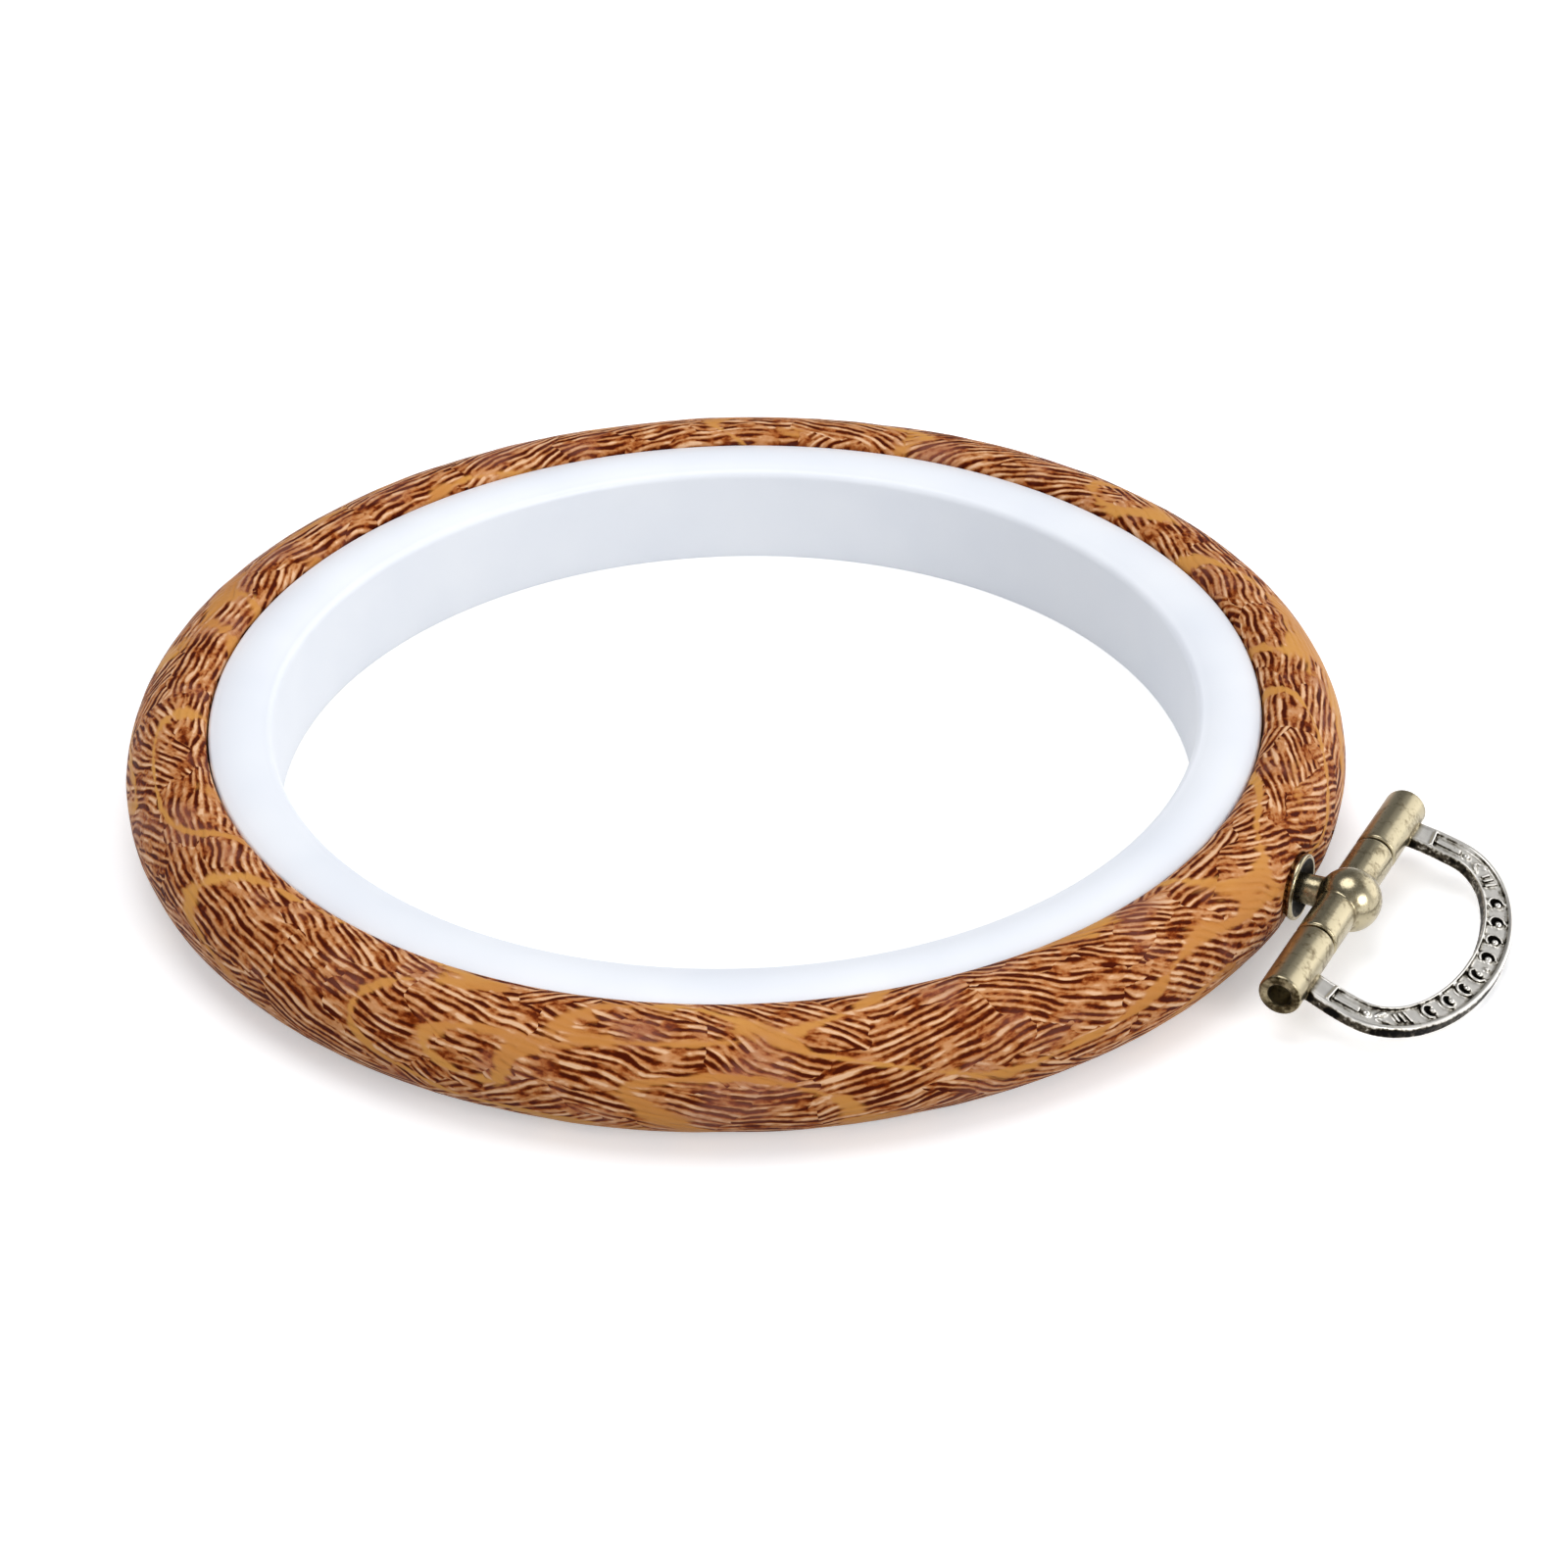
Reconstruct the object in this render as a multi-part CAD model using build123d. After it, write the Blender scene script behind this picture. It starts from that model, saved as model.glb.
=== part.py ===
from build123d import *
import os
from math import asin, atan2, degrees, hypot

# Round embroidery hoop with a hanging loop. Millimetres, +Z up.
# The origin is on the hoop's axis, at the plane that both rings rest on.
# The hanger stands on the +X side of the hoop.

# Inner ring, rigid white plastic
inner_ring_outer_radius = 44.0
inner_ring_width = 5.3
inner_ring_height = 9.3
inner_ring_crown_rise = 0.35
inner_ring_lip_round = 0.7
inner_ring_rim_round = 0.35
inner_ring_foot_chamfer = 0.45

# Outer ring, soft vinyl with a moulded wood look
outer_ring_width = 7.0
outer_ring_height = 10.0
outer_ring_crown_inset = 2.1
outer_ring_shoulder_drop = 1.1
cloth_gap = 0.15
cutting_overrun = 2.0

# Small pit that moulding leaves on the outer ring
gate_pit_radius = 0.8
gate_pit_depth = 1.0
gate_pit_distance = 7.8

# Hanger axis above the resting plane, and its hinge axis outside the outer ring
hanger_height = 4.4
hinge_standoff = 3.25

# Collar, a dished washer that lies in a round hollow in the outer ring
collar_radius = 2.75
collar_depth = 1.0
collar_floor_thickness = 0.4
collar_rim_width = 0.4
collar_floor_radius = 1.45
collar_seat_depth = 1.25
collar_seat_gap = 0.1
hollow_round_radius = 12.0

# Hanger body: neck, ball and middle barrel
neck_foot_radius = 1.2
neck_top_radius = 1.4
ball_radius = 2.6
ball_offset = 0.4
barrel_radius = 1.75
middle_barrel_length = 13.2
barrel_edge_round = 0.15

# Bail: two end barrels and a flat loop
hinge_length = 29.0
barrel_side_gap = 0.3
bail_reach = 13.5
bail_half_width = 13.3
bail_band_width = 2.6
bail_shoulder = 5.6
bail_leg_half_width = 12.4
bail_leg_width = 2.3
bail_thickness = 1.1
bail_rest_gap = 0.05

# Raised ornament on the bail's upper face
outer_rim_width = 0.5
inner_rim_width = 0.3
carving_depth = 0.3
carving_start = 3.3
leg_bar_length = 2.2
leg_bar_width = 0.6
bead_radius = 0.38
scroll_radius = 0.64
scroll_wire_radius = 0.17
scroll_sweep_degrees = 215.0
scroll_pitch = 2.35
scrolls_per_side = 4

# Hinge pin
pin_radius = 0.65
pin_length = 23.0
pin_press_clearance = 0.01
pin_running_clearance = 0.05
barrel_end_bore_radius = 0.95

# Screw from inside the outer ring, with its washer
screw_radius = 0.8
screw_head_radius = 1.5
screw_head_height = 1.1
screw_reach_in_neck = 2.6
screw_hole_clearance = 0.1
screw_slot_width = 0.4
screw_slot_depth = 0.45
thread_clearance = 0.01
washer_radius = 2.0
washer_thickness = 0.4
washer_gap = 0.2
screw_head_gap = 0.3

bore_radius = inner_ring_outer_radius - inner_ring_width
outer_ring_bore_radius = inner_ring_outer_radius + cloth_gap
outer_ring_radius = outer_ring_bore_radius + outer_ring_width
outer_ring_crown_radius = outer_ring_bore_radius + outer_ring_crown_inset
hinge_x = outer_ring_radius + hinge_standoff
collar_seat_x = outer_ring_radius - collar_seat_depth
neck_foot_x = collar_seat_x + collar_floor_thickness
washer_seat_x = outer_ring_bore_radius + screw_head_gap + screw_head_height + washer_thickness
hinge_axis = Pos(hinge_x, 0, hanger_height)
along_x = Rot(0, 90, 0)
along_y = Rot(-90, 0, 0)


def droop_degrees():
    # The bail leans down until the lower edge of its tip is just above the resting plane
    drop = hanger_height - bail_rest_gap
    arm = hypot(bail_reach, bail_thickness / 2)
    return degrees(asin(drop / arm) - atan2(bail_thickness / 2, bail_reach))


def rod_along_x(radius, start_x, end_x):
    middle = Pos((start_x + end_x) / 2, 0, hanger_height)
    return middle * along_x * Cylinder(radius, end_x - start_x)


def rod_along_y(radius, start_y, end_y):
    # A rod on the bail's own hinge axis, before the bail is put in its place
    return Pos(0, (start_y + end_y) / 2, 0) * along_y * Cylinder(radius, end_y - start_y)


def make_inner_ring():
    crown_z = inner_ring_height - inner_ring_crown_rise
    middle_radius = (inner_ring_outer_radius + bore_radius) / 2
    outer_corner = (inner_ring_outer_radius, crown_z)
    bore_corner = (bore_radius, crown_z)
    crown = ThreePointArc(outer_corner, (middle_radius, inner_ring_height), bore_corner)
    sides = Polyline(bore_corner, (bore_radius, 0), (inner_ring_outer_radius, 0), outer_corner)
    section = make_face(Curve() + [crown, sides])
    lip = section.vertices().group_by(Axis.Y)[-1].sort_by(Axis.X)[0]
    section = fillet(lip, inner_ring_lip_round)
    rim = section.vertices().group_by(Axis.X)[-1].sort_by(Axis.Y)[-1]
    section = fillet(rim, inner_ring_rim_round)
    foot = section.vertices().group_by(Axis.Y)[0].sort_by(Axis.X)[-1]
    section = chamfer(foot, inner_ring_foot_chamfer)
    return revolve(Plane.XZ * section, Axis.Z)


def outer_ring_section():
    # A flat inner wall, two short shoulders and a rounded outside, each part of an ellipse
    crown = outer_ring_crown_radius
    inset = outer_ring_crown_inset
    drop = outer_ring_shoulder_drop
    top = outer_ring_height - drop
    middle = outer_ring_height / 2
    inner_wall = Line((outer_ring_bore_radius, drop), (outer_ring_bore_radius, top))
    upper_shoulder = EllipticalCenterArc((crown, top), inset, drop, 90, arc_size=90)
    lower_shoulder = EllipticalCenterArc((crown, drop), inset, drop, 180, arc_size=90)
    outside = EllipticalCenterArc((crown, middle), outer_ring_radius - crown, middle, -90, arc_size=180)
    return make_face(Curve() + [inner_wall, upper_shoulder, outside, lower_shoulder])


def make_outer_ring():
    ring = revolve(Plane.XZ * outer_ring_section(), Axis.Z)
    beyond = outer_ring_radius + cutting_overrun
    inside = outer_ring_bore_radius - cutting_overrun
    ring -= Pos(collar_seat_x + hollow_round_radius, 0, hanger_height) * Sphere(hollow_round_radius)
    ring -= rod_along_x(collar_radius + collar_seat_gap, collar_seat_x, beyond)
    ring -= rod_along_x(screw_radius + screw_hole_clearance, inside, beyond)
    ring -= rod_along_x(washer_radius + washer_gap, inside, washer_seat_x)
    pit_turn = degrees(gate_pit_distance / outer_ring_radius)
    pit = rod_along_x(gate_pit_radius, outer_ring_radius - gate_pit_depth, beyond)
    return ring - Rot(0, 0, pit_turn) * pit


def make_collar():
    inner = screw_radius + screw_hole_clearance
    outline = Polyline(
        (inner, 0),
        (collar_radius - collar_rim_width, 0),
        (collar_radius, collar_depth - collar_rim_width),
        (collar_radius, collar_depth),
        (collar_radius - collar_rim_width, collar_depth),
        (collar_floor_radius, collar_floor_thickness),
        (inner, collar_floor_thickness),
        (inner, 0))
    dish = revolve(Plane.XZ * make_face(outline), Axis.Z)
    return Pos(collar_seat_x, 0, hanger_height) * along_x * dish


def make_hanger_body():
    neck_length = hinge_x + ball_offset - neck_foot_x
    neck_middle = Pos(neck_foot_x + neck_length / 2, 0, hanger_height)
    neck = neck_middle * along_x * Cone(neck_foot_radius, neck_top_radius, neck_length)
    ball = Pos(hinge_x + ball_offset, 0, hanger_height) * Sphere(ball_radius)
    half = middle_barrel_length / 2
    barrel = rod_along_y(barrel_radius, -half, half)
    barrel = fillet(barrel.edges().filter_by(GeomType.CIRCLE), barrel_edge_round)
    body = neck + ball + hinge_axis * barrel
    bore_end = half + cutting_overrun
    body -= hinge_axis * rod_along_y(pin_radius + pin_running_clearance, -bore_end, bore_end)
    thread_end = neck_foot_x + screw_reach_in_neck
    return body - rod_along_x(screw_radius + thread_clearance, neck_foot_x - cutting_overrun, thread_end)


def loop_outline(reach, half_width, leg_half_width, start):
    # A half ellipse round the tip, carried on by two legs that close in towards the hinge
    shoulder = bail_shoulder
    lean = half_width - leg_half_width

    def leg_width(along):
        return half_width - lean * ((shoulder - along) / shoulder) ** 2

    middle = (shoulder + start) / 2
    tip = EllipticalCenterArc((shoulder, 0), reach - shoulder, half_width, -90, arc_size=180)
    right = ThreePointArc((shoulder, half_width), (middle, leg_width(middle)), (start, leg_width(start)))
    left = ThreePointArc((start, -leg_width(start)), (middle, -leg_width(middle)), (shoulder, -half_width))
    return [left, tip, right]


def loop_face(inset_outside, inset_inside, start):
    # The band between the outer and the inner outline, each moved into the band by its inset
    outside = loop_outline(
        bail_reach - inset_outside, bail_half_width - inset_outside, bail_leg_half_width - inset_outside, start)
    inner_grow = inset_inside - bail_band_width
    leg_grow = inset_inside - bail_leg_width
    inside = loop_outline(
        bail_reach + inner_grow, bail_half_width + inner_grow, bail_leg_half_width + leg_grow, start)
    far_leg = Line(outside[2] @ 1, inside[2] @ 1)
    near_leg = Line(inside[0] @ 0, outside[0] @ 0)
    return make_face(Curve() + outside + [far_leg] + inside + [near_leg])


def carving_line():
    # The middle line of the recess, along which the ornament is laid
    inset = (bail_band_width + outer_rim_width - inner_rim_width) / 2
    leg_inset = (bail_leg_width + outer_rim_width - inner_rim_width) / 2
    line = loop_outline(
        bail_reach - inset, bail_half_width - inset, bail_leg_half_width - leg_inset, carving_start)
    return Wire(line)


def make_scroll(side):
    # A bead in the arm of a C-shaped curl, standing at the origin, with its mouth towards the tip
    bead = Sphere(bead_radius)
    curl = Torus(scroll_radius, scroll_wire_radius, major_angle=scroll_sweep_degrees, align=None)
    return [bead, Rot(0, 0, 90 - side * 90 - scroll_sweep_degrees / 2) * curl]


def bail_ornament():
    line = carving_line()
    floor_z = bail_thickness / 2 - carving_depth
    bar_step = (carving_depth + leg_bar_width) / line.length
    pieces = []
    for side in (-1, 1):
        for count in range(scrolls_per_side):
            place = 0.5 + side * (count + 0.5) * scroll_pitch / line.length
            turn = line.tangent_angle_at(place)
            spot = Pos(*(line @ place)) * Pos(0, 0, floor_z) * Rot(0, 0, turn)
            pieces += [spot * part for part in make_scroll(side)]
        place = 0.5 + side * (0.5 - bar_step - leg_bar_length / 2 / line.length)
        spot = Pos(*(line @ place)) * Pos(0, 0, floor_z) * Rot(0, 0, line.tangent_angle_at(place))
        pieces.append(spot * Box(leg_bar_length, leg_bar_width, carving_depth * 2))
    return pieces


def make_bail():
    plate = extrude(loop_face(0, 0, 0), bail_thickness / 2, both=True)
    recess = extrude(loop_face(outer_rim_width, inner_rim_width, carving_start), bail_thickness)
    plate -= Pos(0, 0, bail_thickness / 2 - carving_depth) * recess
    for part in bail_ornament():
        plate += part
    half_middle = middle_barrel_length / 2 + barrel_side_gap
    bail = plate
    for side in (-1, 1):
        ends = sorted((side * half_middle, side * hinge_length / 2))
        barrel = rod_along_y(barrel_radius, *ends)
        bail += fillet(barrel.edges().filter_by(GeomType.CIRCLE), barrel_edge_round)
    half_pin = pin_length / 2
    beyond = hinge_length / 2 + cutting_overrun
    bail -= rod_along_y(pin_radius + pin_press_clearance, -beyond, beyond)
    for side in (-1, 1):
        bail -= rod_along_y(barrel_end_bore_radius, *sorted((side * half_pin, side * beyond)))
    return hinge_axis * Rot(0, droop_degrees(), 0) * bail


def make_hinge_pin():
    return hinge_axis * rod_along_y(pin_radius, -pin_length / 2, pin_length / 2)


def make_hanger_screw():
    head_x = washer_seat_x - washer_thickness
    head = rod_along_x(screw_head_radius, head_x - screw_head_height, head_x)
    screw = head + rod_along_x(screw_radius, head_x, neck_foot_x + screw_reach_in_neck)
    slot = Box(screw_slot_depth * 2, screw_head_radius * 2 + cutting_overrun, screw_slot_width)
    return screw - Pos(head_x - screw_head_height, 0, hanger_height) * slot


def make_screw_washer():
    washer = rod_along_x(washer_radius, washer_seat_x - washer_thickness, washer_seat_x)
    hole = screw_radius + screw_hole_clearance
    return washer - rod_along_x(hole, washer_seat_x - cutting_overrun, washer_seat_x + cutting_overrun)


makers = {
    "inner_ring": make_inner_ring,
    "outer_ring": make_outer_ring,
    "collar": make_collar,
    "hanger_body": make_hanger_body,
    "bail": make_bail,
    "hinge_pin": make_hinge_pin,
    "hanger_screw": make_hanger_screw,
    "screw_washer": make_screw_washer,
}

os.makedirs("parts", exist_ok=True)
for name, make in makers.items():
    export_step(make(), f"parts/{name}.step")
print("bail droop at rest", round(droop_degrees(), 3), "degrees")
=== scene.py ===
from math import asin, atan2, cos, hypot, pi, radians, sin

import bmesh
import bpy
from mathutils import Matrix, Vector, noise
from mathutils.bvhtree import BVHTree


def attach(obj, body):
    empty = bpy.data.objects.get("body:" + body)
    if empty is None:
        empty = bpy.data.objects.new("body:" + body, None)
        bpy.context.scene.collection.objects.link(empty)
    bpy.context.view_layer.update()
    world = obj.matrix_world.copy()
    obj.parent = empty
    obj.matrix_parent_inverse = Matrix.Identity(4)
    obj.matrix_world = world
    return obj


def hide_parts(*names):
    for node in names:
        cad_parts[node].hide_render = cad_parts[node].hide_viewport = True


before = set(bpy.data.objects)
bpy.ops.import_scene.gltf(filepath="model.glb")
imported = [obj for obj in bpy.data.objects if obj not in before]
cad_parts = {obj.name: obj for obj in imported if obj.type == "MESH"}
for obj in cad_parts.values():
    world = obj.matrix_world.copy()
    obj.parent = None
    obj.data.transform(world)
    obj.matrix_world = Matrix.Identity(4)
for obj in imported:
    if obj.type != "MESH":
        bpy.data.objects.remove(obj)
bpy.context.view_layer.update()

# Every piece is modelled in millimetres and brought to metres when it is finished
mm = 0.001
same = 1e-6                # two points are one below this distance, mm
fullTurn = 2 * pi
zAxis = Vector((0, 0, 1))

hanger = dict(
    height=4.4,            # hinge and screw axis above the table
    hingeX=54.4,
    barrelRadius=1.75,
    middleBarrel=13.2,
    pinHole=0.7,
)


# Camera, at the place the photograph was taken from
camera = dict(
    hoopCentre=(0, 0, 8.8),
    azimuth=-61.8,         # seen from that centre, in plan from +X, degrees
    elevation=31.99,
    distance=340.2,
    lookAt=(5.0, -1.0, 2.0),
    roll=-1.14,
    lens=93.0,
)


def placeCamera():
    a, e = radians(camera["azimuth"]), radians(camera["elevation"])
    away = Vector((cos(e) * cos(a), cos(e) * sin(a), sin(e)))
    spot = Vector(camera["hoopCentre"]) + camera["distance"] * away
    data = bpy.data.cameras.new("camera")
    data.lens = camera["lens"]
    data.sensor_width = 36
    data.clip_start, data.clip_end = 0.01, 10
    made = bpy.data.objects.new("camera", data)
    bpy.context.scene.collection.objects.link(made)
    turn = (Vector(camera["lookAt"]) - spot).to_track_quat("-Z", "Y").to_matrix().to_4x4()
    roll = Matrix.Rotation(radians(camera["roll"]), 4, "Z")
    made.matrix_world = Matrix.Translation(spot * mm) @ turn @ roll
    bpy.context.scene.camera = made


placeCamera()
print("camera placed")


# Node and colour helpers
def linear(hexCode):
    channels = [int(hexCode[i:i + 2], 16) / 255 for i in (1, 3, 5)]
    return [c / 12.92 if c <= 0.04045 else ((c + 0.055) / 1.055) ** 2.4 for c in channels] + [1]


def addNode(tree, kind, inputs=None, stops=None, **settings):
    made = tree.nodes.new("ShaderNode" + kind)
    for name, value in settings.items():
        setattr(made, name, value)
    for socket, value in (inputs or {}).items():
        if isinstance(value, bpy.types.Node):
            value = value.outputs[0]
        if isinstance(value, bpy.types.NodeSocket):
            tree.links.new(value, made.inputs[socket])
        else:
            made.inputs[socket].default_value = value
    if stops:
        elements = made.color_ramp.elements
        elements[0].position, elements[1].position = stops[0][0], stops[-1][0]
        for position, _ in stops[1:-1]:
            elements.new(position)
        for element, (_, colour) in zip(elements, stops):
            element.color = linear(colour)
    return made


def newMaterial(name):
    material = bpy.data.materials.new(name)
    material.use_nodes = True
    material.node_tree.nodes.clear()
    return material, material.node_tree


# Wood-look vinyl: soft PVC moulded with raised grain and stained dark in the grooves, satin.
# A pair of sizes is in mm, first round the ring and then over its section
woodLook = dict(
    ringRadius=46.25,      # centre of the ring's rounded outside, mm
    ringMiddle=5.0,
    ringRound=4.95,        # radius of that rounding, mm
    pitch=0.66,            # from one groove to the next, mm
    stroke=(2.6, 0.7),     # a groove breaks off after about this length, along and across it
    strokeShift=0.5,       # and goes on up to half of this aside, mm
    bend=(0.8, 1.8),       # grooves bend by up to half of this, along and across them
    bendsPerMm=0.17,
    patch=(13.0, 6.5),     # a patch of parallel grooves
    patchRipple=(5.0, 4.0),
    patchLayers=40.0,      # keeps two patches from being alike
    slant=1.0,             # radians between the two steepest patches
    faded=(2.2, 1.1),      # places where the grooves are shallow
    stained=(2.0, 1.2),    # places that took more of the stain
    grit=(0.5, 0.35),      # roughness of the mould
    sweep=(26.0, 10.0),    # slow field whose contour lines are the ochre bands
    sweepEdge=(4.0, 2.5),  # unevenness of their width
    toneChange=(18.0, 8.0),
    rosyPlace=(7.0, 5.0),
    ridge=[                # from the bottom of a groove to the top of a ridge: the dark stops are the stain in the grooves, and the palest stop at the ridge tops is painted highlight
        (0.20, "#481100"), (0.36, "#762E05"), (0.48, "#A45B2A"), (0.62, "#C07F4B"), (0.84, "#CF9668"),
        (1.0, "#E6B991")],
    ochre=["#D89E4C", "#C6853E"],
    rosy="#9C6252",        # the stain is thinner and pinker in places
    reliefDepth=0.14,
)


def makeWoodLook():
    w = woodLook
    material, tree = newMaterial("embossedWoodLookVinyl")

    # The pattern is rolled round the ring: one way round it, the other over its section, both in mm
    place = addNode(tree, "TexCoord").outputs["Object"]
    inMm = addNode(tree, "VectorMath", {0: place, "Scale": 1 / mm}, operation="SCALE")
    flat = addNode(tree, "VectorMath", {0: inMm, 1: (1, 1, 0)}, operation="MULTIPLY")
    reach = addNode(tree, "VectorMath", {0: flat}, operation="LENGTH").outputs["Value"]
    around = addNode(tree, "VectorMath", {0: flat}, operation="NORMALIZE")
    above = addNode(tree, "SeparateXYZ", {0: inMm}).outputs["Z"]
    above = addNode(tree, "Math", {0: above, 1: w["ringMiddle"]}, operation="SUBTRACT")
    beside = addNode(tree, "Math", {0: reach, 1: w["ringRadius"]}, operation="SUBTRACT")
    across = addNode(tree, "Math", {0: above, 1: beside}, operation="ARCTAN2")
    across = addNode(tree, "Math", {0: across, 1: w["ringRound"]}, operation="MULTIPLY")
    outside = w["ringRadius"] + w["ringRound"]

    def rolled(size):
        alongRing = addNode(tree, "VectorMath", {0: around, "Scale": outside / size[0]}, operation="SCALE")
        acrossRing = addNode(tree, "Math", {0: across, 1: size[1]}, operation="DIVIDE")
        acrossRing = addNode(tree, "CombineXYZ", {2: acrossRing})
        return addNode(tree, "VectorMath", {0: alongRing, 1: acrossRing}, operation="ADD")

    # The grain lies in patches, each with its own slant, whose borders ripple
    patchPlace = rolled(w["patch"])
    ripple = addNode(tree, "TexNoise", {"Vector": rolled(w["patchRipple"]), "Scale": 1.0, "Detail": 3.0})
    ripple = addNode(tree, "VectorMath", {
        0: ripple.outputs["Color"], 1: (0.5, 0.5, 0.5)}, operation="SUBTRACT")
    rippled = addNode(tree, "VectorMath", {
        0: ripple, 1: (0.7, 0.7, 0.7), 2: patchPlace}, operation="MULTIPLY_ADD")
    patch = addNode(tree, "TexVoronoi", {"Vector": rippled, "Scale": 1.0, "Randomness": 0.9}, feature="F1")
    offset = addNode(tree, "VectorMath", {0: patchPlace, 1: patch.outputs["Position"]}, operation="SUBTRACT")
    tangent = addNode(tree, "VectorMath", {0: around, 1: (0, 0, 1)}, operation="CROSS_PRODUCT")
    along = addNode(tree, "VectorMath", {0: offset, 1: tangent}, operation="DOT_PRODUCT").outputs["Value"]
    along = addNode(tree, "Math", {0: along, 1: w["patch"][0]}, operation="MULTIPLY")
    aside = addNode(tree, "SeparateXYZ", {0: offset}).outputs["Z"]
    aside = addNode(tree, "Math", {0: aside, 1: w["patch"][1]}, operation="MULTIPLY")
    chance = addNode(tree, "SeparateColor", {0: patch.outputs["Color"]})
    slant = addNode(tree, "Math", {0: chance.outputs[0], 1: 0.5}, operation="SUBTRACT")
    slant = addNode(tree, "Math", {0: slant, 1: w["slant"]}, operation="MULTIPLY")
    layer = addNode(tree, "Math", {0: chance.outputs[1], 1: w["patchLayers"]}, operation="MULTIPLY")
    grain = addNode(tree, "CombineXYZ", {0: along, 1: aside, 2: layer})
    grain = addNode(tree, "VectorRotate", {"Vector": grain, "Angle": slant}, rotation_type="Z_AXIS")
    bend = addNode(tree, "TexNoise", {"Vector": grain, "Scale": w["bendsPerMm"], "Detail": 1.0})
    bend = addNode(tree, "VectorMath", {
        0: bend.outputs["Color"], 1: (0.5, 0.5, 0.5)}, operation="SUBTRACT")
    grain = addNode(tree, "VectorMath", {0: bend, 1: (*w["bend"], 0), 2: grain}, operation="MULTIPLY_ADD")

    # Parallel ridges a pitch apart, broken into strokes of uneven length, dark in the grooves between
    stretch = (1 / w["stroke"][0], 1 / w["stroke"][1], 1)
    breaks = addNode(tree, "VectorMath", {0: grain, 1: stretch}, operation="MULTIPLY")
    breaks = addNode(tree, "TexNoise", {"Vector": breaks, "Scale": 1.0, "Detail": 2.0})
    breaks = addNode(tree, "Math", {0: breaks, 1: 0.5}, operation="SUBTRACT")
    ridges = addNode(tree, "SeparateXYZ", {0: grain}).outputs["Y"]
    ridges = addNode(tree, "Math", {0: breaks, 1: w["strokeShift"], 2: ridges}, operation="MULTIPLY_ADD")
    even = addNode(tree, "Math", {0: ridges, 1: fullTurn / w["pitch"]}, operation="MULTIPLY")
    even = addNode(tree, "Math", {0: even}, operation="SINE")
    # A second, wider wave makes some grooves broad and some narrow
    wide = addNode(tree, "Math", {
        0: ridges, 1: fullTurn / w["pitch"] * 0.62, 2: 1.3}, operation="MULTIPLY_ADD")
    wide = addNode(tree, "Math", {0: wide}, operation="SINE")
    stripes = addNode(tree, "Math", {0: wide, 1: 0.34, 2: even}, operation="MULTIPLY_ADD")
    # Here and there the grooves grow shallow and fade
    fade = addNode(tree, "TexNoise", {"Vector": rolled(w["faded"]), "Scale": 1.0, "Detail": 2.0})
    fade = addNode(tree, "MapRange", {
        0: fade, 1: 0.36, 2: 0.52, 3: 0.12, 4: 1.0}, interpolation_type="SMOOTHSTEP")
    stripes = addNode(tree, "Math", {0: stripes, 1: fade}, operation="MULTIPLY")
    strokes = addNode(tree, "Math", {0: stripes, 1: 0.35, 2: 0.54}, operation="MULTIPLY_ADD")
    strokes = addNode(tree, "Math", {0: breaks, 1: 1.3, 2: strokes}, operation="MULTIPLY_ADD")
    stain = addNode(tree, "TexNoise", {"Vector": rolled(w["stained"]), "Scale": 1.0, "Detail": 2.0})
    grit = addNode(tree, "TexNoise", {"Vector": rolled(w["grit"]), "Scale": 1.0, "Detail": 2.0})
    for cloud, share in (stain, 0.6), (grit, 0.45):
        cloud = addNode(tree, "Math", {0: cloud, 1: 0.5}, operation="SUBTRACT")
        strokes = addNode(tree, "Math", {0: cloud, 1: share, 2: strokes}, operation="MULTIPLY_ADD")

    # Long narrow ochre bands that few grooves cross sweep over it all
    contour = addNode(tree, "TexNoise", {
        "Vector": rolled(w["sweep"]), "Scale": 1.0, "Detail": 0.5, "Distortion": 0.3})
    contour = addNode(tree, "Math", {0: contour, 1: 5.0}, operation="MULTIPLY")
    contour = addNode(tree, "Math", {0: contour, 1: 0.5}, operation="PINGPONG")
    contour = addNode(tree, "Math", {0: breaks, 1: 0.24, 2: contour}, operation="MULTIPLY_ADD")
    uneven = addNode(tree, "TexNoise", {"Vector": rolled(w["sweepEdge"]), "Scale": 1.0, "Detail": 1.0})
    uneven = addNode(tree, "Math", {0: uneven, 1: 0.5}, operation="SUBTRACT")
    contour = addNode(tree, "Math", {0: uneven, 1: 0.30, 2: contour}, operation="MULTIPLY_ADD")
    band = addNode(tree, "MapRange", {
        0: contour, 1: 0.02, 2: 0.105, 3: 1.0, 4: 0.0}, interpolation_type="SMOOTHSTEP")
    filled = addNode(tree, "Math", {0: band, 1: 0.8}, operation="MULTIPLY")
    height = addNode(tree, "Mix", {0: filled, 2: strokes, 3: 0.70}, data_type="FLOAT")

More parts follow.
